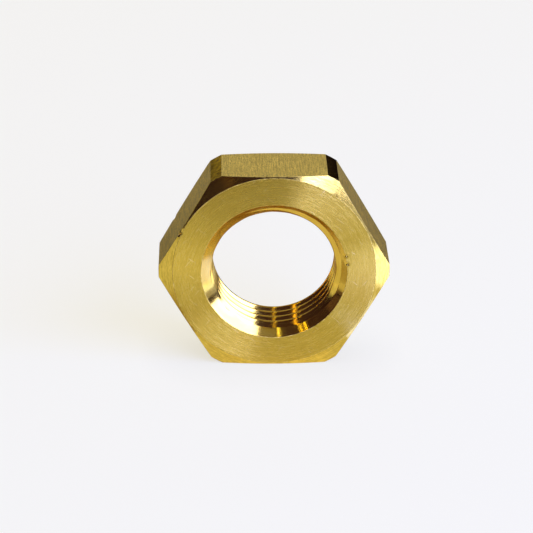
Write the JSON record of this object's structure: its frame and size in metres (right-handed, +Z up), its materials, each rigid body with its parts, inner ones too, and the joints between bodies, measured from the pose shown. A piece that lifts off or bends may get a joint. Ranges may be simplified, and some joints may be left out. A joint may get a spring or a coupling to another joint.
{
  "type": "pipe lock nut",
  "caption": "Thin brass hexagon nut with a parallel pipe thread, chamfered on both faces and countersunk at both ends, screwed up a threaded pipe or fitting to lock it.",
  "frame": {"origin": "on the thread axis, at half the nut's thickness", "axes": "+Y along the thread axis, away from the viewer; +Z up, square to the flat that the nut stands on; +X towards a corner of the hexagon"},
  "size_m": [0.028, 0.0074, 0.025],
  "materials": {
    "brass": "machined: satin turned face rings, drawn flats with fine lines along the bar, brighter chamfers, countersinks and thread"
  },
  "bodies": {
    "root": {"lock_nut": "brass"}
  },
  "joints": []
}
